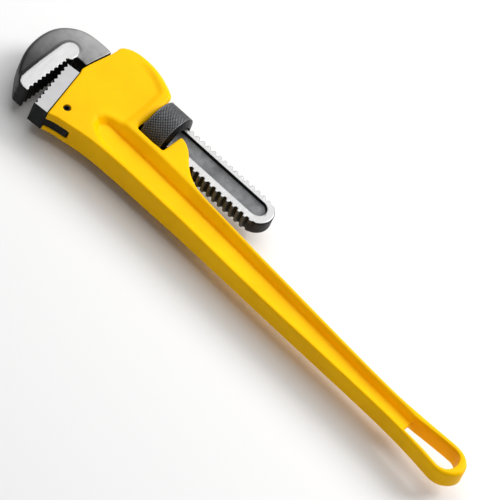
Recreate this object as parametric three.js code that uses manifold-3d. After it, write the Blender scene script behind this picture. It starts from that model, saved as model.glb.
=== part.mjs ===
// Pipe wrench, heavy-duty straight pattern. Units are millimetres.
// Built flat in a working frame: +X from the handle towards the jaws, +Y towards the handle's spine,
// z = 0 in the middle of the thickness. The last step moves the whole tool so that it lies on z = 0.
import * as THREE from 'three';
import { mergeVertices } from 'three/addons/utils/BufferGeometryUtils.js';
import Module from 'manifold-3d';

const wasm = await Module();
wasm.setup();

// ---------------------------------------------------------------- driving dimensions
const HOUSING_T = 23.5;            // thickness of the housing and of both jaws
const HANDLE_T = 19.0;             // thickness of the handle at the grip
const WEB_T = 4.0;                 // web between the two long recesses of the handle
const AXIS_Y = -42.7;              // axis of the nut and of the hook jaw's shank
const SHANK_T = 14.4;              // thickness of the flat-sided shank
const CREST_R = 17.7;              // thread crest radius
const ROOT_R = 15.2;               // thread root radius
const PITCH = 6.5;                 // thread pitch, right-handed
const THREAD_X = -1.8;             // where a turn of the thread starts
const NUT_R = 23.6;                // outside radius over the knurling
const NUT_X = [119.4, 145.8];      // the nut's two ends
const WINDOW_X = [117.3, 147.4];   // the nut window between the ears and the housing
const WINDOW_TOP = -17.4;
const PASSAGE_T = 15.8;            // width of the passage for the shank
const SLOT_T = 9.6;                // slot for the heel jaw's tongue
const SLOT_Z = -1.6;               // the slot sits a little behind the middle
const SEAT = [[217.3, -20], [205.8, 36]];       // seat of the heel jaw, bottom and top
const PIN_AT = [199.1, 17.9];      // heel jaw pin
const PIN_HOLE_R = 3.5;
const TOOTH_DEPTH = 2.0;
const HEEL_TEETH = 10;
const HOOK_TEETH = 9;
const HEEL_TIPS = [[231.2, -18.3], [220.5, 37.7]];   // heel jaw tooth tips, bottom and top
const HOOK_TIP_X = 232.7;          // hook jaw tooth tips
const LEAF_Y = -61.0;              // upper face of the leaf, just clear of the shank's crests
const LEAF_T = 1.1;                // leaf spring thickness
const COIL_X = 178;                // where the coil spring and the rivet sit along the leaf
const GAP = 0.3;                   // clearance left between fixed pieces that touch

// ---------------------------------------------------------------- outline helpers
const TAU = 2 * Math.PI;
const lerp = (a, b, t) => a + (b - a) * t;
const smooth = (a, b, x) => {
  const t = Math.min(1, Math.max(0, (x - a) / (b - a)));
  return t * t * (3 - 2 * t);
};

// Closed path through corners [x, y, plan radius]; a radius turns the corner into an arc.
function path(corners, steps = 4) {
  const out = [];
  corners.forEach(([x, y, r = 0], i) => {
    if (!r) { out.push([x, y]); return; }
    const p = corners[(i + corners.length - 1) % corners.length];
    const q = corners[(i + 1) % corners.length];
    const a = new THREE.Vector2(p[0] - x, p[1] - y).normalize();
    const b = new THREE.Vector2(q[0] - x, q[1] - y).normalize();
    const half = Math.acos(THREE.MathUtils.clamp(a.dot(b), -1, 1)) / 2;
    const cut = r / Math.tan(half);
    const mid = a.clone().add(b).normalize().multiplyScalar(r / Math.sin(half));
    const from = Math.atan2(a.y * cut - mid.y, a.x * cut - mid.x);
    let turn = Math.atan2(b.y * cut - mid.y, b.x * cut - mid.x) - from;
    if (turn > Math.PI) turn -= TAU;
    if (turn < -Math.PI) turn += TAU;
    for (let k = 0; k <= steps; k++) {
      const t = from + turn * k / steps;
      out.push([x + mid.x + r * Math.cos(t), y + mid.y + r * Math.sin(t)]);
    }
  });
  return out;
}

// Moves each point of a counter-clockwise outline inwards by its own amount.
function inset(pts, amount) {
  const n = pts.length;
  return pts.map(([x, y], i) => {
    const p = pts[(i + n - 1) % n];
    const q = pts[(i + 1) % n];
    const u = new THREE.Vector2(x - p[0], y - p[1]).normalize();
    const v = new THREE.Vector2(q[0] - x, q[1] - y).normalize();
    const m = new THREE.Vector2(-(u.y + v.y), u.x + v.x);
    const d = amount(i) * 2 / Math.max(m.lengthSq(), 1);
    return [x + m.x * d, y + m.y * d];
  });
}

// ---------------------------------------------------------------- solid helpers
function toSolid(verts, tris) {
  return new wasm.Manifold(new wasm.Mesh({
    numProp: 3,
    vertProperties: new Float32Array(verts.flat()),
    triVerts: new Uint32Array(tris.flat()),
  }));
}

const vectors = (pts) => pts.map(([x, y]) => new THREE.Vector2(x, y));

// Solid from rings of points: each level is {pts, z}, z a number or a list, lowest first.
function stack(given) {
  const turn = THREE.ShapeUtils.area(vectors(given[0].pts)) < 0;
  const levels = given.map(({ pts, z }) => ({
    pts: turn ? [...pts].reverse() : pts, z: turn && Array.isArray(z) ? [...z].reverse() : z,
  }));
  const n = levels[0].pts.length;
  const verts = [];
  const tris = [];
  levels.forEach(({ pts, z }) => pts.forEach(([x, y], i) => {
    verts.push([x, y, Array.isArray(z) ? z[i] : z]);
  }));
  for (let l = 0; l + 1 < levels.length; l++) {
    for (let i = 0; i < n; i++) {
      const a = l * n + i;
      const b = l * n + (i + 1) % n;
      tris.push([a, b, b + n], [a, b + n, a + n]);
    }
  }
  const cap = (pts) => THREE.ShapeUtils.triangulateShape(vectors(pts), []);
  const last = (levels.length - 1) * n;
  cap(levels[0].pts).forEach(([a, b, c]) => tris.push([a, c, b]));
  cap(levels[levels.length - 1].pts).forEach(([a, b, c]) => tris.push([last + a, last + b, last + c]));
  return toSolid(verts, tris);
}

// Plate centred on z = 0 with rounded edges; radius(i) is the edge radius at point i.
function plate(pts, thickness, radius, steps = 3) {
  const levels = [];
  for (let k = 0; k <= steps; k++) {
    const a = (Math.PI / 2) * (k / steps);
    const ring = inset(pts, (i) => radius(i) * (1 - Math.sin(a)));
    levels.push({ pts: ring, z: pts.map((_, i) => -thickness / 2 + radius(i) * (1 - Math.cos(a))) });
  }
  const upper = levels.map(({ pts: p, z }) => ({ pts: p, z: z.map((v) => -v) })).reverse();
  return stack([...levels, ...upper]);
}

const slab = (pts, z0, z1) => stack([{ pts, z: z0 }, { pts, z: z1 }]);

function ring(cx, cy, r, n, phase = 0) {
  return Array.from({ length: n }, (_, i) => {
    const t = phase + TAU * i / n;
    return [cx + r * Math.cos(t), cy + r * Math.sin(t)];
  });
}

// Wedge of a screw on the nut axis, swept from angle t0 to t1 (from +Y towards +Z). form lists
// [fraction of a pitch, radius] over one turn; the wedge's sharp edge is the axis.
function screw(x0, x1, form, t0, t1, n) {
  const start = Math.floor(x0 / PITCH) - 1;
  const turns = Math.ceil((x1 - x0) / PITCH) + 2;
  const rows = [];
  for (let k = 0; k < turns; k++) form.forEach(([f, r]) => rows.push([(start + k + f) * PITCH + THREAD_X, r]));
  const verts = [[x0 - 3 * PITCH, AXIS_Y, 0], [x1 + 4 * PITCH, AXIS_Y, 0]];
  const tris = [];
  for (let i = 0; i <= n; i++) {
    const t = lerp(t0, t1, i / n);
    rows.forEach(([x, r]) => {
      verts.push([x + PITCH * t / TAU, AXIS_Y + r * Math.cos(t), r * Math.sin(t)]);
    });
  }
  const m = rows.length;
  const at = (i, j) => 2 + i * m + j;
  for (let i = 0; i < n; i++) {
    for (let j = 0; j + 1 < m; j++) {
      tris.push([at(i, j), at(i + 1, j + 1), at(i, j + 1)], [at(i, j), at(i + 1, j), at(i + 1, j + 1)]);
    }
    tris.push([0, at(i + 1, 0), at(i, 0)], [1, at(i, m - 1), at(i + 1, m - 1)]);
  }
  [[0, 1], [n, -1]].forEach(([i, side]) => {
    const loop = [0, ...rows.map((_, j) => at(i, j)), 1];
    const flat = loop.map((v) => {
      const [x, y, z] = verts[v];
      return new THREE.Vector2(x, Math.hypot(y - AXIS_Y, z));
    });
    THREE.ShapeUtils.triangulateShape(flat, []).forEach(([a, b, c]) => {
      const up = flat[b].clone().sub(flat[a]).cross(flat[c].clone().sub(flat[a])) > 0;
      const tri = up === (side > 0) ? [loop[a], loop[c], loop[b]] : [loop[a], loop[b], loop[c]];
      tris.push(tri);
    });
  });
  return toSolid(verts, tris);
}

// Row of V teeth from p to q; the valleys lie to the left of the direction of travel.
function teeth(p, q, count, depth) {
  const u = new THREE.Vector2(q[0] - p[0], q[1] - p[1]);
  const left = new THREE.Vector2(-u.y, u.x).normalize();
  const out = [];
  for (let k = 0; k <= 2 * count; k++) {
    const t = k / (2 * count);
    const d = k % 2 ? depth : 0;
    out.push([p[0] + u.x * t + left.x * d, p[1] + u.y * t + left.y * d]);
  }
  return out;
}

// ---------------------------------------------------------------- handle casting
// Half outlines as [x, y, edge radius]; the spine runs from the seat to the grip's end.
const SPINE = [
  [205.2, 35.7, 0.8], [203.2, 35.0, 0.8], [198, 33.2, 1], [190, 31.4, 1], [180, 29.4, 1.2], [170, 27.6, 1.4],
  [160, 26.4, 1.6], [150, 25.8, 1.7], [130, 25.3, 1.7], [100, 25.4, 1.7], [50, 26.0, 1.7], [0, 27.7, 1.7],
  [-50, 29.2, 1.7], [-100, 30.1, 1.7], [-150, 31.0, 1.7], [-180, 31.9, 1.7], [-200, 33.0, 2], [-214, 34.3, 2],
  [-228, 36.0, 2.2], [-240, 37.8, 2.4], [-247, 38.7, 2.6], [-254, 38.2, 2.8],
];
const GRIP_END = [
  [-260, 35.3, 3], [-265, 30, 3], [-267.6, 23, 3], [-266.9, 17.5, 3], [-264.3, 12.6, 3], [-259.5, 8.2, 3],
  [-253, 5.3, 2.8],
];
const LOWER = [
  [-246, 4.6, 2.6], [-236, 4.9, 2.4], [-222, 5.7, 2], [-210, 6.2, 2], [-198, 6.6, 1.8], [-180, 6.7, 1.7],
  [-150, 5.2, 1.7], [-100, 1.5, 1.7], [-50, -2.5, 1.7], [0, -6.3, 1.7], [40, -9.5, 1.8], [62, -11.6, 2],
];
const EAR = [
  [73, -13.7, 2], [82.5, -18, 2], [90, -23.6, 2], [96, -29.8, 2.2], [100, -34.2, 2.4], [104.5, -38.4, 2.4],
  [108.6, -41, 2.2], [112.5, -42.6, 2], [115.6, -42.8, 1.6], [117.3, -41.4, 1.2],
];
const HOUSING_FOOT = [
  [147.4, -60, 4.5], [147.8, -66, 5.5], [150.5, -69.6, 6.5], [155, -73.3, 7.5], [161.5, -76.8, 8],
  [170, -80.2, 8], [179.5, -82.6, 8], [190, -83.2, 7.5], [199, -81.8, 6], [206.6, -78.4, 4], [211.6, -74, 2.4],
  [213.9, -69.8, 1.2], [213.7, -64, 0.8], [215.4, -52, 0.8], [217.1, -42, 0.8], [218.7, -31, 0.8],
  [219.2, -24.6, 0.8],
];

function castingBlank() {
  const spots = [
    [SEAT[0][0], SEAT[0][1], 0.8], ...SPINE, ...GRIP_END, ...LOWER, ...EAR,
    ...path([[WINDOW_X[0], -30], [WINDOW_X[0], WINDOW_TOP, 2], [WINDOW_X[1], WINDOW_TOP - 0.5, 2.5],
      [WINDOW_X[1], -30]], 3).map(([x, y], i) => [x, y, [1.2, 1.2, 1.6, 2.4, 3, 3, 3, 3.2, 3.4, 3.6][i]]),
    ...HOUSING_FOOT,
  ];
  const blank = plate(spots, HOUSING_T, (i) => spots[i][2]);
  // The grip is thinner than the housing: the thickness eases down along the handle.
  return blank.warp((v) => { v[2] *= lerp(HANDLE_T / HOUSING_T, 1, smooth(-40, 130, v[0])); });
}

// The long recess, as [x, lower rim y, lower floor y, upper floor y, upper rim y].
const RECESS = [
  [-215, 13.5, 16.5, 27.5, 30.2], [-200, 11.4, 15, 26.6, 29.4], [-180, 10.3, 13.8, 25.6, 28.4],
  [-150, 8.8, 12.3, 24.6, 27.5], [-100, 5.1, 8.6, 23.4, 26.6], [-50, 1.1, 5.4, 21.8, 25.6],
  [0, -3.2, 2.2, 19.6, 24.1], [50, -7.8, -0.8, 17.4, 22.4], [100, -11.4, -3.6, 16.2, 21.8],
  [130, -12.1, -5.0, 15.4, 21.6], [150, -12.1, -5.6, 14.4, 20.9], [160, -11.6, -5.2, 12.2, 18.8],
  [168, -8.2, -3.4, 8.6, 14.8], [174, -3.6, -0.6, 5, 10],
];

function recessCutter() {
  const floorZ = WEB_T / 2;
  const rimZ = HOUSING_T / 2;
  const outline = (z, extra) => {
    const t = (z - floorZ) / (rimZ - floorZ);
    const back = (x) => x - 5 * (1 - t) * smooth(150, 174, x);
    const lower = RECESS.map(([x, r0, f0]) => [back(x), lerp(f0, r0, t) + extra]);
    const upper = RECESS.map(([x, , , f1, r1]) => [back(x), lerp(f1, r1, t) - extra]);
    const tip = [[lerp(171, 177, t) - extra, lerp(2.2, 3.2, t)]];
    return [...lower, ...tip, ...upper.reverse()];
  };
  const levels = [
    { pts: outline(floorZ, 1.6), z: floorZ }, { pts: outline(floorZ + 0.5, 0.5), z: floorZ + 0.5 },
    { pts: outline(floorZ + 1.6, 0), z: floorZ + 1.6 }, { pts: outline(rimZ + 1, 0), z: rimZ + 1 },
  ];
  const front = stack(levels);
  return front.add(front.mirror([0, 0, 1]));
}

function handleCasting() {
  let body = castingBlank();
  body = body.subtract(recessCutter());
  const hole = path([[-204.5, 13.5, 3], [-204.5, 29, 3], [-232, 31.6], [-249, 33.8, 5], [-256.5, 30.5, 5],
    [-258.8, 22, 6], [-256.5, 13, 5], [-250, 10.2, 4], [-232, 10.8]].reverse(), 3);
  body = body.subtract(slab(hole, -20, 20));
  // Passage for the shank, open at the ears and at the mouth; its foot holds the springs.
  const h = PASSAGE_T / 2;
  const passage = [[70, -20.4], [70, -90], [WINDOW_X[0] + 6, -90], [WINDOW_X[0] + 6, -66.6], [240, -66.6],
    [240, -22.6], [212, -22.6], [200, -20.4]];
  body = body.subtract(slab(passage, -h, h));
  // Slot for the tongue, from the seat and the spine.
  const slot = path([[183.2, 60], [183.2, 1.5, 2], [240, 1.5], [240, 60]], 3);
  body = body.subtract(slab(slot, SLOT_Z - SLOT_T / 2, SLOT_Z + SLOT_T / 2));
  body = body.subtract(slab(ring(...PIN_AT, PIN_HOLE_R, 24), -20, 20));
  // Blind pocket behind the leaf spring.
  const pocket = slab(ring(COIL_X, 0, 6.2, 20), 60, 78.8).rotate([90, 0, 0]);
  return body.subtract(pocket);
}

// ---------------------------------------------------------------- heel jaw and its pin
function heelJaw() {
  const down = new THREE.Vector2(SEAT[0][0] - SEAT[1][0], SEAT[0][1] - SEAT[1][1]).normalize();
  const off = new THREE.Vector2(-down.y, down.x).multiplyScalar(GAP);
  const foot = [SEAT[0][0] + off.x + 0.1, SEAT[0][1] + off.y];
  const head = [SEAT[1][0] + off.x, SEAT[1][1] + off.y + 0.4];
  const outline = [foot, ...teeth(...HEEL_TIPS, HEEL_TEETH, TOOTH_DEPTH), head];
  const block = slab(outline, -HOUSING_T / 2 + 0.2, HOUSING_T / 2 - 0.2);
  const tongue = path([[184.2, 2.2, 1.5], [213.9, 2.2], [208.3, 30], [206.5, 36], [204, 34.3], [198, 32.2],
    [190, 30.4], [184.2, 29.2, 1]], 3);
  const reach = SLOT_T / 2 - GAP;
  let jaw = block.add(slab(tongue, SLOT_Z - reach, SLOT_Z + reach));
  jaw = jaw.subtract(slab(ring(...PIN_AT, PIN_HOLE_R, 24), -20, 20));
  return jaw;
}

// Slit spring pin: a C section with chamfered ends.
function rollPin() {
  const section = (outer, inner) => {
    const pts = [];
    for (let k = 0; k <= 20; k++) {
      const a = 0.16 + (TAU - 0.32) * k / 20;
      pts.push([PIN_AT[0] + outer * Math.cos(a), PIN_AT[1] + outer * Math.sin(a)]);
    }
    for (let k = 20; k >= 0; k--) {
      const a = 0.28 + (TAU - 0.56) * k / 20;
      pts.push([PIN_AT[0] + inner * Math.cos(a), PIN_AT[1] + inner * Math.sin(a)]);
    }
    return pts;
  };
  const half = HOUSING_T / 2 - 0.9;
  const r = PIN_HOLE_R - GAP;
  return stack([
    { pts: section(r - 0.5, 1.9), z: -half }, { pts: section(r, 1.9), z: -half + 0.8 },
    { pts: section(r, 1.9), z: half - 0.8 }, { pts: section(r - 0.5, 1.9), z: half },
  ]);
}

// ---------------------------------------------------------------- hook jaw
// Outer edge of the hook from the neck's foot round to the tip, as [x, y, edge radius].
const HOOK_BACK = [
  [214.5, -60.9, 0.8], [222, -61.8, 1.6], [231, -61.9, 2], [240, -61.3, 2.4], [247.6, -59.1, 2.6],
  [254.3, -54.8, 3], [259.8, -49.3, 3.2], [264, -42.2, 3.4], [266.2, -35, 3.4], [267.2, -26, 3.4],
  [266.7, -14.5, 3.4], [264.5, -3.2, 3.4], [260.8, 7, 3.2], [256.2, 15.6, 3], [251, 23.2, 2.6],
  [246.4, 28.9, 2], [243.8, 31.8, 1], [242.2, 33, 0.4],
];

function hookJaw() {
  const row = (x) => teeth([x, 30.3], [x, -19.2], HOOK_TEETH, TOOTH_DEPTH);
  const front = [[232.2, 33.3, 0.3], ...row(HOOK_TIP_X).map(([x, y]) => [x, y, 0.4]), [235.2, -21.4, 0.4],
    [230.6, -25, 0.6], [230.8, -29, 1], [229, -31.4, 1], [224, -32.2, 1], [217.5, -31.2, 0.8]];
  const spots = [...front, ...HOOK_BACK];
  const head = plate(spots, HOUSING_T - 1.4, (i) => spots[i][2] + 0.2);
  // The head keeps clear of the housing's end, with room for the jaw to rock.
  const clear = slab([[190, -80], [215, -80], [215.6, -62], [218.9, -42], [220.4, -31], [221.2, -24],
    [190, -24]], -HOUSING_T, HOUSING_T);
  let jaw = head.subtract(clear);
  // Ground pads beside the teeth on both faces.
  const pad = path([[233.4, 31.6], ...row(HOOK_TIP_X + 0.7), [235.7, -21.4], [231.2, -25.2], [231.4, -33, 3.5],
    [234.6, -39.8, 5], [245.4, -39.8, 7], [247.2, -28], [246.6, 8], [246, 31.6, 5]], 4);
  jaw = jaw.add(slab(pad, -HOUSING_T / 2, HOUSING_T / 2));
  // Shank: flat plate with a round end, threaded on both narrow sides.
  const half = SHANK_T / 2;
  const web = Math.sqrt(ROOT_R ** 2 - half ** 2) - 0.2;
  const full = Math.sqrt(CREST_R ** 2 - half ** 2) - 0.05;
  const end = ring(25.6, AXIS_Y, 14.3, 40).filter(([x]) => x < 21);
  const left = [...end].sort((a, b) => b[1] - a[1]);
  const flat = [...left, [22, AXIS_Y - web], [166, AXIS_Y - web], [169, AXIS_Y - full], [218, AXIS_Y - full],
    [224, -60.2], [230, -58], [236, -50], [236, -40], [232, -34], [226, -31.6], [220, -31.1], [212, -29.4],
    [205, AXIS_Y + full], [169, AXIS_Y + full], [166, AXIS_Y + web], [22, AXIS_Y + web]];
  let shank = plate(flat, SHANK_T, (i) => (flat[i][0] < 24 ? 1.2 : 0.3), 2);
  const form = [[0, ROOT_R], [0.32, ROOT_R], [0.49, CREST_R], [0.83, CREST_R]];
  const span = 0.56;
  const sides = [0, Math.PI].map((t) => screw(10, 172, form, t - span, t + span, 7));
  const bounds = slab([[17.5, -70], [172, -70], [172, -10], [17.5, -10]], -half, half);
  sides.forEach((s) => { shank = shank.add(s.intersect(bounds)); });
  const channel = path([[19.2, AXIS_Y - 9.2, 8], [168, AXIS_Y - 9.2, 5], [168, AXIS_Y + 7, 5],
    [19.2, AXIS_Y + 7, 8]], 5);
  const pocket = stack([
    { pts: inset(channel, () => 1.2), z: half - 4.2 },
    { pts: channel, z: half - 3.2 },
    { pts: channel, z: half + 1 },
  ]);
  shank = shank.subtract(pocket).subtract(pocket.mirror([0, 0, 1]));
  return jaw.add(shank);
}

// ---------------------------------------------------------------- adjusting nut
function adjustingNut() {
  const n = 72;
  const rows = 15;
  const [x0, x1] = NUT_X;
  const verts = [[x0, AXIS_Y, 0], [x1, AXIS_Y, 0]];
  const tris = [];
  const knurl = [x0 + 3.2, x1 - 1];
  const rings = [[x0, 16.8], [x0 + 0.4, 17.4], [x0 + 2.4, NUT_R - 0.9]];
  for (let k = 0; k < rows; k++) rings.push([lerp(knurl[0], knurl[1], k / (rows - 1)), null, k]);
  rings.push([x1, NUT_R - 1.2]);
  rings.forEach(([x, r, k]) => {
    for (let i = 0; i < n; i++) {
      const t = TAU * i / n;
      const rr = r ?? NUT_R - ((i + k) % 2 || k === 0 || k === rows - 1 ? 0.5 : 0);
      verts.push([x, AXIS_Y + rr * Math.cos(t), rr * Math.sin(t)]);
    }
  });
  const at = (j, i) => 2 + j * n + (i % n);
  for (let i = 0; i < n; i++) {
    tris.push([0, at(0, i + 1), at(0, i)], [1, at(rings.length - 1, i), at(rings.length - 1, i + 1)]);
    for (let j = 0; j + 1 < rings.length; j++) {
      tris.push([at(j, i), at(j, i + 1), at(j + 1, i + 1)], [at(j, i), at(j + 1, i + 1), at(j + 1, i)]);
    }
  }
  const blank = toSolid(verts, tris);
  const cut = [[0.02, ROOT_R + 0.5], [0.30, ROOT_R + 0.5], [0.436, CREST_R + 0.45], [0.884, CREST_R + 0.45]];
  const bore = screw(x0 - 8, x1 + 8, cut, 0, Math.PI, 18).add(screw(x0 - 8, x1 + 8, cut, Math.PI, TAU, 18));
  return blank.subtract(bore);
}

// ---------------------------------------------------------------- springs
function flatSpring() {
  const side = [];
  const n = 8;
  for (let k = 0; k <= n; k++) side.push([lerp(151, 199, k / n), LEAF_Y - 1.2 * Math.abs(k / n - 0.56) ** 2]);
  const back = side.map(([x, y]) => [x, y - LEAF_T]);
  const leaf = slab([...back, ...side.reverse()], -5, 5);
  return leaf.subtract(slab(ring(COIL_X, 0, 1.7, 16), 55, 70).rotate([90, 0, 0]));
}

function springRivet() {
  const y = -LEAF_Y;
  return toLatheY([[0, y + 0.1], [1.4, y + 0.1], [1.4, y + LEAF_T + 0.4], [2.3, y + LEAF_T + 0.4],
    [2.1, y + LEAF_T + 1.6], [0, y + LEAF_T + 1.9]], 16);
}

// Turned piece on the coil's axis: profile lists [radius, distance along -Y].
function toLatheY(profile, n) {
  const geo = new THREE.LatheGeometry(profile.map(([r, d]) => new THREE.Vector2(r, d)), n);
  geo.rotateX(Math.PI);
  geo.translate(COIL_X, 0, 0);
  return fromGeometry(geo);
}

function fromGeometry(geometry) {
  let geo = geometry.clone();
  geo.deleteAttribute('normal');
  geo.deleteAttribute('uv');
  geo = mergeVertices(geo, 1e-4);
  const pos = geo.attributes.position;
  const verts = [];
  for (let i = 0; i < pos.count; i++) verts.push([pos.getX(i), pos.getY(i), pos.getZ(i)]);
  const tris = [];
  for (let i = 0; i < geo.index.count; i += 3) {
    const t = [geo.index.getX(i), geo.index.getX(i + 1), geo.index.getX(i + 2)];
    if (t[0] !== t[1] && t[1] !== t[2] && t[2] !== t[0]) tris.push(t);
  }
  return toSolid(verts, tris);
}

class Helix extends THREE.Curve {
  constructor(radius, turns, length) {
    super();
    Object.assign(this, { radius, turns, length });
  }

  getPoint(t, out = new THREE.Vector3()) {
    const a = t * this.turns * TAU;
    return out.set(this.radius * Math.cos(a), -t * this.length, this.radius * Math.sin(a));
  }
}

function coilSpring() {
  const wire = new THREE.Shape();
  ring(0, 0, 0.65, 8).forEach(([x, y], i) => (i ? wire.lineTo(x, y) : wire.moveTo(x, y)));
  const helix = new Helix(3.7, 5, 13);
  const geo = new THREE.ExtrudeGeometry(wire, { steps: 70, bevelEnabled: false, extrudePath: helix });
  geo.translate(COIL_X, LEAF_Y - LEAF_T - 1.25, 0);
  return fromGeometry(geo);
}

// ---------------------------------------------------------------- assembly
function toGeometry(solid) {
  const mesh = solid.getMesh();
  const geo = new THREE.BufferGeometry();
  geo.setAttribute('position', new THREE.BufferAttribute(new Float32Array(mesh.vertProperties), 3));
  geo.setIndex(new THREE.BufferAttribute(new Uint32Array(mesh.triVerts), 1));
  return geo;
}

const PIECES = [
  ['handle_casting', handleCasting, 0xe8b800, 0.35, 0.0],
  ['heel_jaw', heelJaw, 0xbfc2c4, 0.4, 0.9],
  ['heel_jaw_pin', rollPin, 0x2b2c2e, 0.5, 0.8],
  ['hook_jaw', hookJaw, 0x6d6f72, 0.5, 0.85],
  ['adjusting_nut', adjustingNut, 0x2f3033, 0.5, 0.8],
  ['flat_spring', flatSpring, 0x5a5d61, 0.4, 0.9],
  ['coil_spring', coilSpring, 0x6a6d70, 0.4, 0.9],
  ['spring_rivet', springRivet, 0x8a8d90, 0.45, 0.9],
];

const wrench = new THREE.Group();
wrench.name = 'pipe_wrench';
const solids = PIECES.map(([, build]) => build());
const box = new THREE.Box3();
solids.forEach((s) => {
  const b = s.boundingBox();
  box.expandByPoint(new THREE.Vector3(...b.min));
  box.expandByPoint(new THREE.Vector3(...b.max));
});
const centre = box.getCenter(new THREE.Vector3());
PIECES.forEach(([name, , color, roughness, metalness], i) => {
  const geo = toGeometry(solids[i]);
  geo.translate(-centre.x, -centre.y, -box.min.z);
  const piece = new THREE.Mesh(geo, new THREE.MeshStandardMaterial({ color, roughness, metalness }));
  piece.name = name;
  wrench.add(piece);
});

export default wrench;
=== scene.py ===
# Pipe wrench: fine pieces, materials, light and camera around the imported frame.
# Shapes are worked out in millimetres in the tool's own frame: +X towards the jaws, +Y towards the
# spine, z = 0 in the middle of the thickness. to_row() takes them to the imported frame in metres.
import bmesh
import bpy
import math
import numpy as np
import openvdb
from mathutils import Matrix, Vector


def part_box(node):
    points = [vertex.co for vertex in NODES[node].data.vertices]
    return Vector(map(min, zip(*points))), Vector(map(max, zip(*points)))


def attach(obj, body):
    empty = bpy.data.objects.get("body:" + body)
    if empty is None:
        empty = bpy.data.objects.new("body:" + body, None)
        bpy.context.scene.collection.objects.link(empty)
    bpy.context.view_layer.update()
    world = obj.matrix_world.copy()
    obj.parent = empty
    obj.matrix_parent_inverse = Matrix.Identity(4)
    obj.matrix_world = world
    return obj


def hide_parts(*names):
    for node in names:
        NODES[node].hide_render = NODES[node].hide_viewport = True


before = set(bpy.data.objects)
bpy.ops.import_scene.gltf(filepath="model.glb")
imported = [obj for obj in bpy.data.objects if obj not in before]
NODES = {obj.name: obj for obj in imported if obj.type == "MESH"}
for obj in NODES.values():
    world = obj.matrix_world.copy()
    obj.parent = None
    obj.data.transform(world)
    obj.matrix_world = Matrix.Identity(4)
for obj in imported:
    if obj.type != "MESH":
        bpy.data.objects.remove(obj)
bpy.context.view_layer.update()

# ------------------------------------------------------------------ sizes shared with the CAD
AXIS_Y = -42.7           # line of the shank's and the nut's axis
HALF = 11.75             # half thickness of the housing and the jaws
GRIP_HALF = 9.5
WEB_HALF = 2.0
SHANK_HALF = 7.2
CREST_R, ROOT_R, PITCH = 17.7, 15.2, 6.5
NUT_R = 23.6
NUT_X = (119.4, 145.8)
WINDOW = (117.3, 147.4, -17.4)
PIN = (199.1, 17.9)
SLOT_Z = -1.6            # the tongue and its slot sit a little behind the middle
THREAD_X = -1.8          # where the thread starts
TOOTH = 2.0              # height of a jaw's tooth

# ------------------------------------------------------------------ sizes of the fine pieces
EAR_LEAN = 1.2           # how far the ears' faces lean back at their tips
VALLEY = 1.9             # depth of the valley inside the housing's rolled rim
PASSAGE_HALF = 7.9       # the housing's passage for the shank
SLOT_HALF, TONGUE_HALF = 4.8, 4.4
PIN_HOLE_R = 3.5
KNURL_STARTS, KNURL_DEPTH = 72, 0.62
HEEL_EDGE = 0.28         # width of the heel jaw's rounded edges
CASTING_STEP = 0.8      # spacing of a field's grid
HOOK_STEP = 0.62
ADAPTIVITY = 0.01        # how far nearly flat faces of a field's mesh are merged

nut_low, nut_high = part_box("adjusting_nut")
SHIFT = (np.array(nut_low) + np.array(nut_high)) * 500 - np.array([sum(NUT_X) / 2, AXIS_Y, 0.0])


def to_row(p):
    """Points of the tool's own frame in mm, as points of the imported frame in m."""
    return (np.asarray(p, float) + SHIFT) / 1000.0


# ------------------------------------------------------------------ outlines
def spline(ctrl, step=1.6):
    """Closed outline through points [x, y, value, corner]; smooth except at corners."""
    n = len(ctrl)
    pts = np.array([c[:3] for c in ctrl], float)
    corner = [len(c) > 3 and bool(c[3]) for c in ctrl]
    out = []
    for i in range(n):
        p1, p2 = pts[i], pts[(i + 1) % n]
        p0 = pts[i - 1] if not corner[i] else 2 * p1 - p2
        p3 = pts[(i + 2) % n] if not corner[(i + 1) % n] else 2 * p2 - p1
        d01, d12, d23 = [max(np.hypot(*(b - a)[:2]), 1e-6) ** 0.5 for a, b in ((p0, p1), (p1, p2), (p2, p3))]
        m1 = (p2 - p1) + d12 * ((p1 - p0) / d01 - (p2 - p0) / (d01 + d12))
        m2 = (p2 - p1) + d12 * ((p3 - p2) / d23 - (p3 - p1) / (d12 + d23))
        k = max(1, int(np.hypot(*(p2 - p1)[:2]) / step))
        if corner[i] and corner[(i + 1) % n]:
            k = 1
        for t in np.arange(k) / k:
            out.append((2 * t**3 - 3 * t**2 + 1) * p1 + (t**3 - 2 * t**2 + t) * m1
                       + (3 * t**2 - 2 * t**3) * p2 + (t**3 - t**2) * m2)
    return np.array(out)


def rounded(corners, steps=6):
    """Closed outline through corners [x, y, plan radius]."""
    out = []
    n = len(corners)
    for i, c in enumerate(corners):
        x, y, r = (list(c) + [0])[:3]
        if not r:
            out.append((x, y))
            continue
        a = np.array(corners[i - 1][:2]) - (x, y)
        b = np.array(corners[(i + 1) % n][:2]) - (x, y)
        a, b = a / np.hypot(*a), b / np.hypot(*b)
        half = math.acos(np.clip(a @ b, -1, 1)) / 2
        m = (a + b) / np.hypot(*(a + b)) * r / math.sin(half)
        u, v = a * r / math.tan(half) - m, b * r / math.tan(half) - m
        t0, t1 = math.atan2(u[1], u[0]), math.atan2(v[1], v[0])
        turn = (t1 - t0 + math.pi) % (2 * math.pi) - math.pi
        for k in range(steps + 1):
            t = t0 + turn * k / steps
            out.append((x + m[0] + r * math.cos(t), y + m[1] + r * math.sin(t)))
    return np.array(out)


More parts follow.
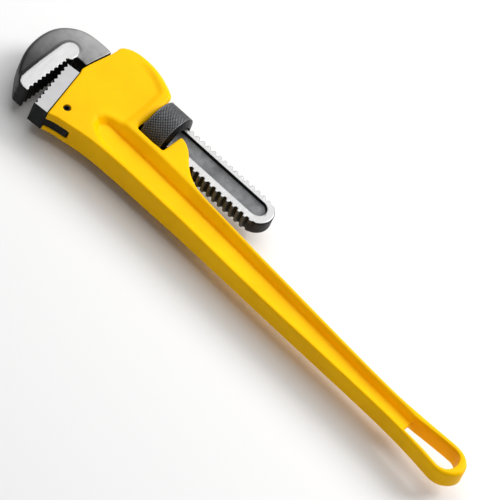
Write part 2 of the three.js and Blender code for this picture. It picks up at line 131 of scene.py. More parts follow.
def flat_sdf(x, y, pts):
    """Signed distance (negative inside) from points to a closed outline, and the outline's value
    (third column, if there is one) at the nearest place."""
    best = np.full(x.shape, 1e9)
    value = np.zeros(x.shape)
    inside = np.zeros(x.shape, bool)
    n = len(pts)
    for i in range(n):
        a, b = pts[i], pts[(i + 1) % n]
        ex, ey = b[0] - a[0], b[1] - a[1]
        wx, wy = x - a[0], y - a[1]
        t = np.clip((wx * ex + wy * ey) / max(ex * ex + ey * ey, 1e-12), 0, 1)
        d = (wx - t * ex) ** 2 + (wy - t * ey) ** 2
        if pts.shape[1] > 2:
            near = d < best
            value = np.where(near, a[2] + (b[2] - a[2]) * t, value)
        best = np.minimum(best, d)
        if ey != 0:
            cross = ((a[1] > y) != (b[1] > y)) & (x < a[0] + (y - a[1]) * ex / ey)
            inside ^= cross
    d = np.sqrt(best)
    return np.where(inside, -d, d), value


def smoothstep(a, b, x):
    """0 at a, 1 at b, with an even start and end; a may be the larger."""
    t = np.clip((x - a) / (b - a), 0, 1)
    return t * t * (3 - 2 * t)


# ------------------------------------------------------------------ distance fields
def meet(a, b, r):
    """Intersection of two fields with its edge rounded to radius r."""
    return np.minimum(np.maximum(a, b), -r) + np.hypot(np.maximum(a + r, 0), np.maximum(b + r, 0))


def join(a, b, r):
    """Union of two fields with the corner between them filled to radius r."""
    return -meet(-a, -b, r)


def cut(a, b, r):
    """Field a without field b, with the edge rounded to radius r."""
    return meet(a, -b, r)


def grid(low, high, step):
    """Axes of a box with a small margin, and x, y (both flat) and z ready for a field."""
    axes = [np.arange(lo - 2.5 * step, hi + 2.5 * step, step) for lo, hi in zip(low, high)]
    x = axes[0][:, None]
    y = axes[1][None, :]
    return axes, x + 0 * y, y + 0 * x, axes[2][None, None, :]


def smooth_object(name, points, faces):
    """Smooth-shaded mesh object from points in the tool's own frame."""
    mesh = bpy.data.meshes.new(name)
    mesh.from_pydata(to_row(points).tolist(), [], faces)
    mesh.validate()
    mesh.polygons.foreach_set("use_smooth", [True] * len(mesh.polygons))
    obj = bpy.data.objects.new(name, mesh)
    bpy.context.scene.collection.objects.link(obj)
    return obj


def mesh_from(field, axes, step, name):
    """Mesh object of the surface where a field is zero."""
    vol = openvdb.FloatGrid(background=3.0 * step)
    clipped = np.clip(field, -3 * step, 3 * step).astype(np.float32)
    vol.copyFromArray(clipped, tolerance=0.0)
    pts, tris, quads = vol.convertToPolygons(isovalue=0.0, adaptivity=ADAPTIVITY)
    pts = np.asarray(pts, float)
    faces = [tuple(int(v) for v in f[::-1]) for part in (quads, tris) for f in part]
    return smooth_object(name, np.array([a[0] for a in axes]) + pts * step, faces)


# ------------------------------------------------------------------ handle casting
# Points are [x, y, edge radius, corner].
CAST_OUTLINE = [
    [217.3, -20, 0.8, 1], [205.6, 36.2, 0.8, 1], [203.6, 35.4, 0.9], [198, 33.2, 1], [190, 31.4, 1],
    [180, 29.4, 1.2], [170, 27.6, 1.4], [160, 26.4, 1.6], [150, 25.8, 1.7], [130, 25.3, 1.7],
    [100, 25.4, 1.7], [50, 26.0, 1.7], [0, 27.7, 1.7], [-50, 29.2, 1.7], [-100, 30.1, 1.7],
    [-150, 31.0, 1.7], [-180, 31.9, 1.8], [-200, 33.0, 2], [-214, 34.3, 2.2], [-228, 36.0, 2.4],
    [-240, 37.8, 2.6], [-247, 38.7, 2.8], [-254, 38.2, 3], [-260, 35.3, 3.2], [-265, 30, 3.2],
    [-267.6, 23, 3.2], [-266.9, 17.5, 3.2], [-264.3, 12.6, 3.2], [-259.5, 8.2, 3.2], [-253, 5.3, 3],
    [-246, 4.6, 2.8], [-236, 4.9, 2.6], [-222, 5.7, 2.2], [-210, 6.2, 2], [-198, 6.6, 1.8],
    [-180, 6.7, 1.7], [-150, 5.2, 1.7], [-100, 1.5, 1.7], [-50, -2.5, 1.7], [0, -6.3, 1.8],
    [40, -9.5, 2.2], [62, -11.6, 2.8], [73, -13.7, 3.2], [82.5, -18, 3.4], [90, -23.6, 3.4],
    [96, -29.8, 3.4], [100, -34.2, 3.2], [104.5, -38.4, 3], [108.6, -41, 2.6], [112.5, -42.6, 2.2],
    [115.6, -42.8, 1.6], [117.3, -41.4, 1.2, 1], [147.4, -60, 4.5, 1], [147.8, -66, 5.5, 1],
    [150.5, -69.6, 6.5], [155, -73.3, 7.5], [161.5, -76.8, 8], [170, -80.2, 8], [179.5, -82.6, 8],
    [190, -83.2, 7.5], [199, -81.8, 6], [206.6, -78.4, 4], [211.6, -74, 2.4], [213.9, -69.8, 1.2],
    [213.7, -64, 0.8], [215.4, -52, 0.8], [217.1, -42, 0.8], [218.7, -31, 0.8], [219.2, -24.6, 0.8, 1],
]
# The long recess as [x, lower rim, lower floor, upper floor, upper rim].
RECESS = [
    (-215, 13.5, 16.5, 27.5, 30.2), (-200, 11.4, 15, 26.6, 29.4), (-180, 10.3, 13.8, 25.6, 28.4),
    (-150, 8.8, 12.3, 24.6, 27.5), (-100, 5.1, 8.6, 23.4, 26.6), (-50, 1.1, 5.4, 21.8, 25.6),
    (0, -3.2, 2.2, 19.6, 24.1), (50, -7.8, -0.8, 17.4, 22.4), (100, -11.4, -3.6, 16.2, 21.8),
    (130, -12.1, -5.0, 15.4, 21.6), (150, -12.1, -5.6, 14.4, 20.9), (160, -11.6, -5.2, 12.2, 18.8),
    (168, -8.2, -3.4, 8.6, 14.8),
]


def half_thickness(x):
    """The casting grows thicker from the grip to the housing."""
    return GRIP_HALF + (HALF - GRIP_HALF) * smoothstep(-40, 130, x)


def open_path(points):
    """Control points for spline() with corners at the first and the last only."""
    return [[a, b, 0, int(i in (0, len(points) - 1))] for i, (a, b) in enumerate(points)]


def casting_field(x, y, z):
    d, r = flat_sdf(x, y, spline(CAST_OUTLINE))
    h = half_thickness(x)
    # The ears lean back towards their tips, and a shallow valley follows the housing's rolled rim.
    ear = smoothstep(-12, -42, y) * smoothstep(122, 112, x)
    h = h - EAR_LEAN * ear
    left = np.maximum(x - WINDOW[1], 0) + 0.0 * y
    foot = np.maximum(-d, 0)
    near = 0.5 * (left + foot - np.sqrt((left - foot) ** 2 + 30))
    rim = left + (near - left) * smoothstep(-20, -34, y)
    valley = VALLEY * smoothstep(42, 13.5, rim) * smoothstep(6.5, 13, rim) * smoothstep(-2, -18, y)
    valley = valley * smoothstep(200, 175, x) * (x > 147)
    h = h - valley
    az = np.abs(z)
    body = meet(d[..., None], az - h[..., None], np.minimum(r, 8.0)[..., None])
    # recess
    floor = ([(x0, f0) for x0, _, f0, _, _ in RECESS] + [(171, 2.2)]
             + [(x0, f1) for x0, _, _, f1, _ in RECESS[::-1]])
    rims = ([(x0, r0) for x0, r0, _, _, _ in RECESS] + [(174.2, -3.4), (177.4, 3)]
            + [(174.6, 9.8)] + [(x0, r1) for x0, _, _, _, r1 in RECESS[::-1]])
    d_floor, _ = flat_sdf(x, y, spline(open_path(floor), 4)[:, :2])
    d_rim, _ = flat_sdf(x, y, spline(open_path(rims), 4)[:, :2])
    # The wall stands straight at its foot, then opens out towards the rim.
    t = np.clip((az - WEB_HALF) / (h[..., None] - WEB_HALF), 0, 1.2)
    t = 0.5 * (t - 0.25 + np.sqrt((t - 0.25) ** 2 + 0.006)) / 0.75
    wall = ((1 - t) * d_floor[..., None] + t * d_rim[..., None]) * 0.88
    floor_z = WEB_HALF + 3.0 * smoothstep(150, 178, x)
    recess = meet(wall, floor_z[..., None] - az, 0.4)
    body = cut(body, recess, (1.1 + 1.2 * smoothstep(140, 165, x))[..., None])
    # hang hole through the grip's end
    hole = [[-204.5, 12.6, 0, 1], [-204.2, 29.6, 0, 1], [-215, 30.4, 0], [-232, 31.9, 0], [-243, 33.6, 0],
            [-250, 33.9, 0], [-255.6, 31.2, 0], [-258.6, 25.5, 0], [-258.6, 19, 0], [-255.8, 13.2, 0],
            [-250.6, 10.2, 0], [-243, 9.9, 0], [-232, 10.4, 0], [-215, 11.6, 0]]
    d_hole, _ = flat_sdf(x, y, spline(hole)[:, :2])
    body = cut(body, d_hole[..., None] + 0 * z, 1.7)
    # window for the nut
    window = rounded([(WINDOW[0], -130), (WINDOW[1], -130), (WINDOW[1], WINDOW[2] - 0.5, 2.4),
                      (WINDOW[0], WINDOW[2], 1.8)])
    d_win, _ = flat_sdf(x, y, window)
    r_win = 1.4 + 3.4 * smoothstep(130, 146, x) * smoothstep(-17, -24, y) + 1.2 * smoothstep(122, 128, x)
    body = cut(body, d_win[..., None] + 0 * z, r_win[..., None])
    # passage for the shank, tongue slot, pin hole, spring pocket
    passage = np.array([(70, -20.4), (70, -90), (153, -90), (153, -66.6), (240, -66.6), (240, -22.6),
                        (212, -22.6), (200, -20.4)])
    d_pas, _ = flat_sdf(x, y, passage)
    body = cut(body, meet(d_pas[..., None], az - PASSAGE_HALF, 0.8), 0.5)
    in_slot = meet((183.2 - x)[..., None] + 0 * z, np.abs(z - SLOT_Z) - SLOT_HALF, 1.8)
    body = cut(body, np.maximum(in_slot, (1.5 - y)[..., None]), 0.5)
    pin = np.hypot(x - PIN[0], y - PIN[1]) - PIN_HOLE_R
    body = cut(body, pin[..., None] + 0 * z, 0.35)
    pocket = np.maximum(np.hypot(x[..., None] - 178, z) - 6.2, -78.8 - y[..., None])
    return cut(body, np.maximum(pocket, y[..., None] + 60), 0.3)


def make_casting():
    axes, x, y, z = grid((-268, -84, -12), (220, 39, 12), CASTING_STEP)
    return mesh_from(casting_field(x, y, z), axes, CASTING_STEP, "casting_shell")


# ------------------------------------------------------------------ hook jaw
TIP_X = 232.7
FOOT_Y = -19.2


def tooth_row(p, q, count, depth):
    """Zigzag of pointed teeth from p to q, standing out to the left of the way from p to q."""
    u = np.array(q, float) - p
    left = np.array([-u[1], u[0]]) / np.hypot(*u)
    return [tuple(np.array(p) + u * k / (2 * count) + left * (depth if k % 2 else 0))
            for k in range(2 * count + 1)]


HOOK_TEETH = tooth_row((TIP_X, 30.3), (TIP_X, FOOT_Y), 9, TOOTH)
HOOK_BACK = [
    [214.5, -60.9, 1], [222, -61.8, 1.6], [231, -61.9, 2.2], [240, -61.3, 3.0], [247.6, -59.1, 3.6],
    [254.3, -54.8, 4.2], [259.8, -49.3, 4.6], [264.0, -42.2, 4.8], [266.2, -35, 4.8],
    [267.2, -26, 4.8], [266.7, -14.5, 4.8], [264.5, -3.2, 4.6], [260.8, 7, 4.2], [256.2, 15.6, 3.6],
    [251.0, 23.2, 2.8], [246.4, 28.9, 1.8], [243.8, 31.8, 1.0], [242.2, 33.0, 0.6, 1],
]


def hook_outline():
    front = [[232.2, 33.3, 0.3, 1]] + [[x, y, 0.35, 1] for x, y in HOOK_TEETH]
    throat = [[235.2, -21.4, 0.4, 1], [230.7, -25.0, 0.5, 1], [230.9, -28.6, 0.8], [229.6, -31.2, 1.0],
              [226.2, -32.3, 1.0], [221, -31.9, 1.0], [213, -29.6, 0.9, 1]]
    neck = [[205, -26.7, 0.6, 1], [205, -58.7, 0.6, 1]]
    return spline(front + throat + neck + HOOK_BACK, 1.2)


def pad_outline():
    """The raised ground pad behind the hook's teeth."""
    top = [[233.3, 31.9, 0, 1]] + [[x + 0.4, y, 0, 1] for x, y in HOOK_TEETH]
    rest = [[235.7, -21.4, 0, 1], [231.1, -25.1, 0, 1], [231.0, -29.0, 0], [231.5, -32.6, 0],
            [233.0, -36.0, 0], [235.6, -38.9, 0], [239.2, -40.2, 0], [242.8, -39.3, 0], [245.6, -36.4, 0],
            [247.0, -31.6, 0], [247.3, -24, 0], [247.2, -8, 0], [246.9, 8, 0], [246.4, 20, 0],
            [245.6, 26.2, 0], [242.8, 30.4, 0], [238.6, 32.2, 0], [235.2, 32.4, 0]]
    return spline(top + rest, 1.5)[:, :2]


def thread_radius(x, y, z):
    """Radius of the threaded rod's surface over x and the angle about the shank's axis."""
    angle = np.arctan2(z, y - AXIS_Y)
    f = np.mod((x - THREAD_X) / PITCH - angle / (2 * math.pi), 1.0)
    up = np.clip((f - 0.32) / 0.17, 0, 1) - np.clip((f - 0.83) / 0.17, 0, 1)
    active = smoothstep(12.5, 17.5, x) * smoothstep(172, 164, x)
    blank = np.where(x > 100, CREST_R, ROOT_R)
    return blank + (ROOT_R + (CREST_R - ROOT_R) * up - blank) * active


def channel_outline():
    """The round-ended channel in the shank's faces."""
    return rounded([(19.2, AXIS_Y - 9.2, 8.0), (168, AXIS_Y - 9.2, 5), (168, AXIS_Y + 7.0, 5),
                    (19.2, AXIS_Y + 7.0, 8.0)], 10)


def hook_field(x, y, z):
    az = np.abs(z)
    X, Y = x[..., None], y[..., None]
    # head, thinning to the neck just outside the housing
    d, r = flat_sdf(x, y, hook_outline())
    pad = pad_outline()
    d_pad, _ = flat_sdf(x, y, pad)
    edge = np.interp(y.ravel(), [-62, -42, -31, -24], [215.6, 218.9, 220.4, 221.2]).reshape(y.shape)
    tip = smoothstep(26, 34, y)
    face = 9.9 + 1.6 * (1 - smoothstep(-0.5, 4.4, d_pad)) + 0.9 * tip * smoothstep(0, 3, d_pad)
    face = np.minimum(face, 11.3)
    head = meet(d[..., None], az - face[..., None], np.minimum(r, face - 2)[..., None])
    head = meet(head, (edge - x)[..., None] + 0 * z, 0.8)
    raised = meet(d_pad[..., None], az - HALF, 0.35)
    head = join(head, raised, 0.35)
    # shank
    rho = np.hypot(Y - AXIS_Y, z)
    rod = (rho - thread_radius(X, Y, z)) * 0.85
    end = np.hypot(X - 27, Y - AXIS_Y) - 16.3
    end = np.where(X < 27, end, -20)
    shank = meet(meet(rod, az - SHANK_HALF, 0.5), end, 1.6)
    shank = np.maximum(shank, X - 216)
    d_ch, _ = flat_sdf(x, y, channel_outline())
    floor = 2.7 + 1.7 * np.clip((y - AXIS_Y + 1.1) / 8.1, -1, 1) ** 2
    pocket = meet(d_ch[..., None] - 0.12 * (az - 3), floor[..., None] - az, 0.8)
    shank = cut(shank, pocket, 0.4)
    return join(shank, head, 1.2)


def make_hook():
    axes, x, y, z = grid((10, -63, -12), (268, 34, 12), HOOK_STEP)
    return mesh_from(hook_field(x, y, z), axes, HOOK_STEP, "hook_shell")


# ------------------------------------------------------------------ adjusting nut
def make_nut():
    """One closed grid: knurled outside, chamfered ends and a threaded bore."""
    x0, x1 = NUT_X
    n = KNURL_STARTS * 6
    prof = [(x0, 16.5, 0), (x0 + 0.1, 17.2, 0), (x0 + 0.35, 17.7, 0), (x0 + 2.6, 22.75, 0),
            (x0 + 2.75, 22.95, 0), (x0 + 2.95, 23.05, 0)]
    k0, k1 = x0 + 3.0, x1 - 1.1
    rows = 66
    prof += [(k0 + (k1 - k0) * i / rows, NUT_R, min(1, i / 2, (rows - i) / 2)) for i in range(rows + 1)]
    prof += [(x1 - 0.7, NUT_R - 0.75, 0), (x1 - 0.2, NUT_R - 1.2, 0), (x1, NUT_R - 1.7, 0), (x1, 19.6, 0)]
    bore = 56
    prof += [(x1 - (x1 - x0) * i / bore, None, 0) for i in range(bore + 1)]
    angle = np.linspace(0, 2 * math.pi, n, endpoint=False)
    verts = []

    def groove(v):
        return np.abs(np.mod(v, 1.0) - 0.5) * 2

    for x, r, k in prof:
        if r is None:
            f = np.mod((x - THREAD_X) / PITCH - angle / (2 * math.pi), 1.0)
            up = np.clip((f - 0.30) / 0.136, 0, 1) - np.clip((f - 0.884) / 0.116, 0, 1)
            rad = ROOT_R + 0.5 + (CREST_R - ROOT_R - 0.05) * up
            mouth = max(0.0, 1.2 - min(x - x0, x1 - x)) * 0.8
            rad = np.maximum(rad, ROOT_R + 0.5 + mouth)
        else:
            a = angle * KNURL_STARTS / (2 * math.pi)
            s = (x - k0) / (2 * math.pi * NUT_R / KNURL_STARTS)
            depth = np.minimum(groove(a + s), groove(a - s))
            rad = r - k * KNURL_DEPTH * (1 - np.clip(depth * 1.5, 0, 1))
        verts.append(np.stack([np.full(n, x), AXIS_Y + rad * np.cos(angle), rad * np.sin(angle)], 1))
    verts = np.vstack(verts)
    m = len(prof)
    faces = []
    for j in range(m):
        for i in range(n):
            a, b = j * n + i, j * n + (i + 1) % n
            c, d = ((j + 1) % m) * n + (i + 1) % n, ((j + 1) % m) * n + i
            faces.append((a, b, c, d))
    return smooth_object("nut_shell", verts, faces)


# ------------------------------------------------------------------ heel jaw
def make_heel():
    """Toothed block with the tongue that is let into the casting."""
    low, high = np.array((217.3, -20.0)), np.array((205.8, 36.0))
    u = (low - high) / np.hypot(*(low - high))
    off = np.array((-u[1], u[0])) * 0.3
    teeth = tooth_row((231.2, -18.3), (220.5, 37.7), 10, TOOTH)
    block = [tuple(low + off)] + teeth + [tuple(high + off + (0, 0.4))]
    tongue = rounded([(184.2, 2.2, 1.5), (213.9, 2.2), (208.3, 30), (206.5, 36), (204, 34.5), (198, 32.5),
                      (190, 30.8), (184.2, 29.5, 1.0)])
    bm = bmesh.new()
    for outline, half, mid in ((block, HALF - 0.2, 0.0), (tongue, TONGUE_HALF, SLOT_Z)):
        lower = [bm.verts.new(to_row((x, y, mid - half))) for x, y in outline]
        upper = [bm.verts.new(to_row((x, y, mid + half))) for x, y in outline]
        bm.faces.new(lower[::-1])
        bm.faces.new(upper)
        k = len(outline)
        for i in range(k):
            bm.faces.new((lower[i], lower[(i + 1) % k], upper[(i + 1) % k], upper[i]))
    bmesh.ops.recalc_face_normals(bm, faces=bm.faces)
    mesh = bpy.data.meshes.new("heel_shell")
    bm.to_mesh(mesh)
    bm.free()
    obj = bpy.data.objects.new("heel_shell", mesh)
    bpy.context.scene.collection.objects.link(obj)
    bevel = obj.modifiers.new("edges", "BEVEL")
    bevel.width = HEEL_EDGE / 1000
    bevel.segments = 2
    bevel.limit_method = "ANGLE"
    bevel.angle_limit = math.radians(25)
    # The rounded edges take the black oxide, here also as painted shade over the highlight they would catch.
    bevel.material = 1
    return obj


# ------------------------------------------------------------------ materials
def material(name, color, rough, metal, build=None):
    mat = bpy.data.materials.new(name)
    mat.use_nodes = True
    nt = mat.node_tree
    bsdf = nt.nodes["Principled BSDF"]
    bsdf.inputs["Base Color"].default_value = (*color, 1)
    bsdf.inputs["Roughness"].default_value = rough
    bsdf.inputs["Metallic"].default_value = metal
    if build:
        build(nt, bsdf)
    return mat


def grey(v):
    return (v, v, v)


def node(nt, kind, **values):
    """New node; values go to its inputs or, where no input has the name, to its settings."""
    n = nt.nodes.new(kind)
    for key, v in values.items():
        if key in n.inputs:
            n.inputs[key].default_value = v
        else:
            setattr(n, key, v)
    return n


def coords(nt, scale=(1, 1, 1), rotation=(0, 0, 0)):
    tc = nt.nodes.new("ShaderNodeTexCoord")
    mp = nt.nodes.new("ShaderNodeMapping")
    mp.inputs["Scale"].default_value = scale
    mp.inputs["Rotation"].default_value = rotation
    nt.links.new(tc.outputs["Object"], mp.inputs["Vector"])
    return mp.outputs["Vector"]


def ramp(nt, source, stops):
    n = nt.nodes.new("ShaderNodeValToRGB")
    el = n.color_ramp.elements
    while len(el) < len(stops):
        el.new(0.5)
    for e, (pos, col) in zip(el, stops):
        e.position = pos
        e.color = (*col, 1)
    nt.links.new(source, n.inputs["Fac"])
    return n.outputs["Color"]


def noise(nt, vector, scale, detail=4.0, rough=0.55):
    n = node(nt, "ShaderNodeTexNoise", Scale=scale, Detail=detail, Roughness=rough)
    nt.links.new(vector, n.inputs["Vector"])
    return n.outputs["Fac"]


def bump(nt, bsdf, height, strength, distance):
    n = node(nt, "ShaderNodeBump", Strength=strength, Distance=distance)
    nt.links.new(height, n.inputs["Height"])
    nt.links.new(n.outputs["Normal"], bsdf.inputs["Normal"])


def mix(nt, fac, a, b, mode="MIX"):
    n = nt.nodes.new("ShaderNodeMix")
    n.data_type = "RGBA"
    n.blend_type = mode
    for sock, val in ((n.inputs[0], fac), (n.inputs[6], a), (n.inputs[7], b)):
        if hasattr(val, "is_linked"):
            nt.links.new(val, sock)
        elif isinstance(val, (int, float)):
            sock.default_value = val
        else:
            sock.default_value = (*val, 1)
    return n.outputs[2]


def paint(nt, bsdf):
    v = coords(nt)
    broad = ramp(nt, noise(nt, v, 22, 3), [(0.3, (0.88, 0.464, 0.0)), (0.7, (0.97, 0.536, 0.0))])
    nt.links.new(broad, bsdf.inputs["Base Color"])
    r = ramp(nt, noise(nt, v, 160, 5), [(0.25, grey(0.26)), (0.75, grey(0.40))])
    nt.links.new(r, bsdf.inputs["Roughness"])
    bump(nt, bsdf, noise(nt, v, 300, 5, 0.6), 0.5, 0.00045)
    bsdf.inputs["Specular IOR Level"].default_value = 0.055


def brushed(dark, light, angle, strength=0.3):
    """Ground steel with fine streaks that run at an angle."""
    def build(nt, bsdf):
        v = coords(nt, (1, 0.035, 1), (0, 0, angle))
        streak = noise(nt, v, 1800, 3, 0.6)
        cloud = noise(nt, coords(nt), 60, 4)
        base = ramp(nt, streak, [(0.3, dark), (0.7, light)])
        tint = ramp(nt, cloud, [(0.25, grey(0.86)), (0.75, grey(1.0))])
        nt.links.new(mix(nt, 1.0, base, tint, "MULTIPLY"), bsdf.inputs["Base Color"])
        r = ramp(nt, streak, [(0.25, grey(0.28)), (0.75, grey(0.5))])
        nt.links.new(r, bsdf.inputs["Roughness"])
        bump(nt, bsdf, streak, strength, 0.00008)
    return build


def scale_skin(dark, light, size, sheen=0.5):
    """Forged or blackened surface: mottled, slightly pitted."""
    def build(nt, bsdf):
        v = coords(nt)
        base = ramp(nt, noise(nt, v, size, 6, 0.6), [(0.3, dark), (0.7, light)])
        nt.links.new(base, bsdf.inputs["Base Color"])
        r = ramp(nt, noise(nt, v, size * 2.3, 5), [(0.3, grey(0.42)), (0.7, grey(0.68))])
        nt.links.new(r, bsdf.inputs["Roughness"])
        bump(nt, bsdf, noise(nt, v, size * 5, 5, 0.65), 0.5, 0.0002)
        bsdf.inputs["Specular IOR Level"].default_value = sheen
    return build


def forging_with_painted_shade(nt, bsdf):
    """Forged head: darker towards the tip and lighter towards the neck, with painted shade on the faces that
    turn away from the flats.
    """
    v = coords(nt)
    split = nt.nodes.new("ShaderNodeSeparateXYZ")
    nt.links.new(v, split.inputs[0])
    along = nt.nodes.new("ShaderNodeMapRange")
    along.inputs["From Min"].default_value = -0.040
    along.inputs["From Max"].default_value = 0.050
    nt.links.new(split.outputs["Y"], along.inputs["Value"])
    flat = ramp(nt, along.outputs["Result"], [
        (0.0, grey(0.32)), (0.25, grey(0.19)), (0.5, grey(0.10)), (0.72, grey(0.03)),
        (1.0, grey(0.012))])
    # Painted shade: the more a face turns away from the flats, the darker it is painted.
    tc = nt.nodes.new("ShaderNodeTexCoord")
    tilt = nt.nodes.new("ShaderNodeSeparateXYZ")
    nt.links.new(tc.outputs["Normal"], tilt.inputs[0])
    up = node(nt, "ShaderNodeMath", operation="ABSOLUTE")
    nt.links.new(tilt.outputs["Z"], up.inputs[0])
    tilt_shade = ramp(nt, up.outputs[0], [(0.55, grey(0.16)), (0.97, grey(1.0))])
    cloud = ramp(nt, noise(nt, v, 75, 6, 0.6), [(0.3, grey(0.8)), (0.7, grey(1.12))])
    base = mix(nt, 1.0, mix(nt, 1.0, flat, tilt_shade, "MULTIPLY"), cloud, "MULTIPLY")
    nt.links.new(base, bsdf.inputs["Base Color"])
    r = ramp(nt, noise(nt, v, 210, 5), [(0.3, grey(0.36)), (0.7, grey(0.55))])
    nt.links.new(r, bsdf.inputs["Roughness"])
    bump(nt, bsdf, noise(nt, v, 520, 5, 0.65), 0.45, 0.00018)


def groove_shade_by_radius(inner, outer, r0, r1, fine, sheen=0.5):
    """Steel with painted shade in the grooves and a painted highlight on the crests, by distance from the
    nut's axis.
    """
    def build(nt, bsdf):
        v = coords(nt)
        axis = to_row((0, AXIS_Y, 0))
        shift = node(nt, "ShaderNodeVectorMath", operation="SUBTRACT")
        shift.inputs[1].default_value = (0, axis[1], axis[2])
        nt.links.new(v, shift.inputs[0])
        flat = node(nt, "ShaderNodeVectorMath", operation="MULTIPLY")
        flat.inputs[1].default_value = (0, 1, 1)
        nt.links.new(shift.outputs[0], flat.inputs[0])
        length = node(nt, "ShaderNodeVectorMath", operation="LENGTH")
        nt.links.new(flat.outputs[0], length.inputs[0])
        band = nt.nodes.new("ShaderNodeMapRange")
        band.inputs["From Min"].default_value = r0 / 1000
        band.inputs["From Max"].default_value = r1 / 1000
        nt.links.new(length.outputs["Value"], band.inputs["Value"])
        # Painted shade below r0, painted highlight towards r1.
        base = ramp(nt, band.outputs["Result"], [(0.0, inner), (1.0, outer)])
        cloud = ramp(nt, noise(nt, v, fine, 5, 0.6), [(0.3, grey(0.7)), (0.7, grey(1.15))])
        nt.links.new(mix(nt, 1.0, base, cloud, "MULTIPLY"), bsdf.inputs["Base Color"])
        r = ramp(nt, noise(nt, v, fine * 3, 4), [(0.3, grey(0.34)), (0.7, grey(0.55))])
        nt.links.new(r, bsdf.inputs["Roughness"])
        bump(nt, bsdf, noise(nt, v, fine * 6, 4, 0.6), 0.3, 0.0001)
        bsdf.inputs["Specular IOR Level"].default_value = sheen
    return build


MAT = {
    "paint": material("paint", (1.0, 0.62, 0.0), 0.32, 0.0, paint),
    "ground": material("ground_steel", (0.6, 0.6, 0.6), 0.35, 0.45,
                       brushed((0.44, 0.44, 0.44), (0.60, 0.60, 0.60), 0.7, strength=0.45)),
    "heel_face": material("heel_face", (0.5, 0.5, 0.5), 0.4, 0.4,
                          brushed((0.39, 0.39, 0.395), (0.45, 0.45, 0.455), 1.2)),
    "black": material("black_oxide", (0.02, 0.02, 0.022), 0.5, 0.1,
                      scale_skin((0.003, 0.0035, 0.0035), (0.010, 0.011, 0.011), 90, sheen=0.16)),
    "forged": material("forged_steel", (0.12, 0.12, 0.12), 0.5, 0.6, forging_with_painted_shade),
    "channel": material("shank_channel", (0.15, 0.15, 0.15), 0.5, 0.35,
                        scale_skin((0.085, 0.088, 0.09), (0.21, 0.215, 0.22), 70)),
    # Thread steel: painted shade in the grooves and painted highlights on the crests; the crest colour leans
    # blue to offset the yellow light thrown back from the handle.
    "thread": material("thread_steel", (0.04, 0.04, 0.04), 0.4, 0.0,
                       groove_shade_by_radius((0.005, 0.006, 0.007), (0.088, 0.100, 0.122),
                                 ROOT_R + 0.3, CREST_R - 0.1, 110, 0.18)),
    # Nut steel: painted shade in the knurl's grooves and on the chamfers, painted highlights on the knurl's
    # crests.
    "nut": material("nut_steel", (0.06, 0.06, 0.06), 0.45, 0.85,
                    groove_shade_by_radius((0.006, 0.006, 0.007), (0.26, 0.265, 0.27), NUT_R - 0.42, NUT_R - 0.02, 120)),
    "spring": material("spring_steel", (0.3, 0.31, 0.33), 0.35, 0.9,
                       brushed((0.25, 0.26, 0.28), (0.4, 0.41, 0.43), 0.0)),
    "floor": material("floor", (0.78, 0.78, 0.78), 0.85, 0.0),
}


def dress(obj, *mats):
    """The object's materials, in the order of its faces' material numbers."""
    obj.data.materials.clear()
    for m in mats:
        obj.data.materials.append(MAT[m])


# ------------------------------------------------------------------ build
casting = make_casting()
dress(casting, "paint")
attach(casting, "handle")
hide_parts("handle_casting")

heel = make_heel()
dress(heel, "heel_face", "black")
for p in heel.data.polygons:
    p.material_index = 0 if abs(p.normal.z) > 0.9 else 1
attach(heel, "handle")
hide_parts("heel_jaw")

hook = make_hook()
dress(hook, "forged", "ground", "channel", "thread", "black")
GROUND, CHANNEL, THREAD_AND_WALL_SHADE, BLACK = 1, 2, 3, 4    # 0 is the plain forging
me = hook.data
count = len(me.polygons)
cen = np.zeros(count * 3)
nor = np.zeros(count * 3)
me.polygons.foreach_get("center", cen)
me.polygons.foreach_get("normal", nor)
cen = cen.reshape(-1, 3) * 1000 - SHIFT
nor = nor.reshape(-1, 3)
az = np.abs(cen[:, 2])
index = np.zeros(count, int)
d_pad, _ = flat_sdf(cen[:, 0], cen[:, 1], pad_outline())
in_shank = cen[:, 0] < 212
d_chan, _ = flat_sdf(cen[:, 0], cen[:, 1], channel_outline())
flat_up = np.abs(nor[:, 2]) > 0.75
# Sloping faces of the shank take the dark thread steel: painted groove shade and crest highlights on the
# threads, painted shade on the channel's walls.
index[in_shank & ~flat_up] = THREAD_AND_WALL_SHADE
index[in_shank & flat_up & (az < SHANK_HALF - 0.6) & (d_chan < 0.5)] = CHANNEL
index[in_shank & (az > SHANK_HALF - 0.35) & flat_up] = GROUND
index[(az > HALF - 0.3) & (d_pad < 0.1)] = GROUND
index[(cen[:, 0] < 236.5) & (cen[:, 0] > 229) & (cen[:, 1] > -27) & (az < HALF - 0.3)] = BLACK
me.polygons.foreach_set("material_index", index)
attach(hook, "hook")
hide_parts("hook_jaw")

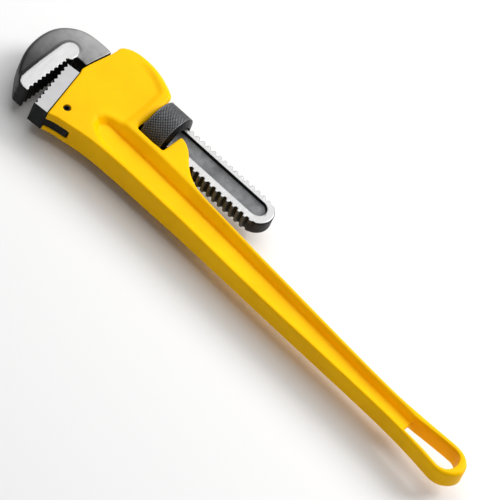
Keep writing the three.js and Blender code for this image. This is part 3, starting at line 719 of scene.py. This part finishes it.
nut = make_nut()
dress(nut, "nut")
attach(nut, "nut")
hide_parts("adjusting_nut")

for name, mat in (("heel_jaw_pin", "black"), ("flat_spring", "spring"), ("coil_spring", "spring"),
                  ("spring_rivet", "spring")):
    for s in NODES[name].material_slots:
        s.material = MAT[mat]

# ------------------------------------------------------------------ floor, light, camera
bpy.ops.mesh.primitive_plane_add(size=6.0, location=(0, 0, -0.0005))
floor = bpy.context.object
floor.name = "floor"
dress(floor, "floor")

bpy.context.scene.view_settings.view_transform = "Standard"
world = bpy.context.scene.world or bpy.data.worlds.new("studio")
bpy.context.scene.world = world
world.use_nodes = True
world.node_tree.nodes["Background"].inputs["Color"].default_value = (1, 1, 1, 1)
world.node_tree.nodes["Background"].inputs["Strength"].default_value = 0.25

# The camera looks from far off with a long lens, so the view is nearly flat.
RIGHT = Vector((-0.7228, -0.6286, 0.2860)).normalized()
BACK = Vector((-0.2315, 0.6104, 0.7570)).normalized()
UP = BACK.cross(RIGHT).normalized()
RIGHT = UP.cross(BACK).normalized()


def area(name, where, size, power, target=(0.05, 0, 0.02)):
    """Area light that faces the target."""
    light = bpy.data.lights.new(name, "AREA")
    light.energy = power
    light.size = size
    obj = bpy.data.objects.new(name, light)
    bpy.context.scene.collection.objects.link(obj)
    obj.location = where
    obj.rotation_euler = (Vector(target) - Vector(where)).to_track_quat("-Z", "Y").to_euler()


area("panel", (0.25, -0.85, 1.9), 3.0, 52)
area("key", (-0.9, -1.35, 1.25), 1.0, 30)

LENS, SENSOR = 700.0, 36           # mm
IMAGE_WIDTH, PX_PER_MM = 500, 1.183
dist = LENS / SENSOR * IMAGE_WIDTH / PX_PER_MM / 1000
aim = Vector(to_row((0, 0, HALF)))
cam = bpy.data.cameras.new("camera")
cam.lens = LENS
cam.sensor_width = SENSOR
cam.clip_end = 50
camera = bpy.data.objects.new("camera", cam)
bpy.context.scene.collection.objects.link(camera)
rot = Matrix((RIGHT, UP, BACK)).transposed()
camera.matrix_world = Matrix.Translation(aim + BACK * dist) @ rot.to_4x4()
bpy.context.scene.camera = camera
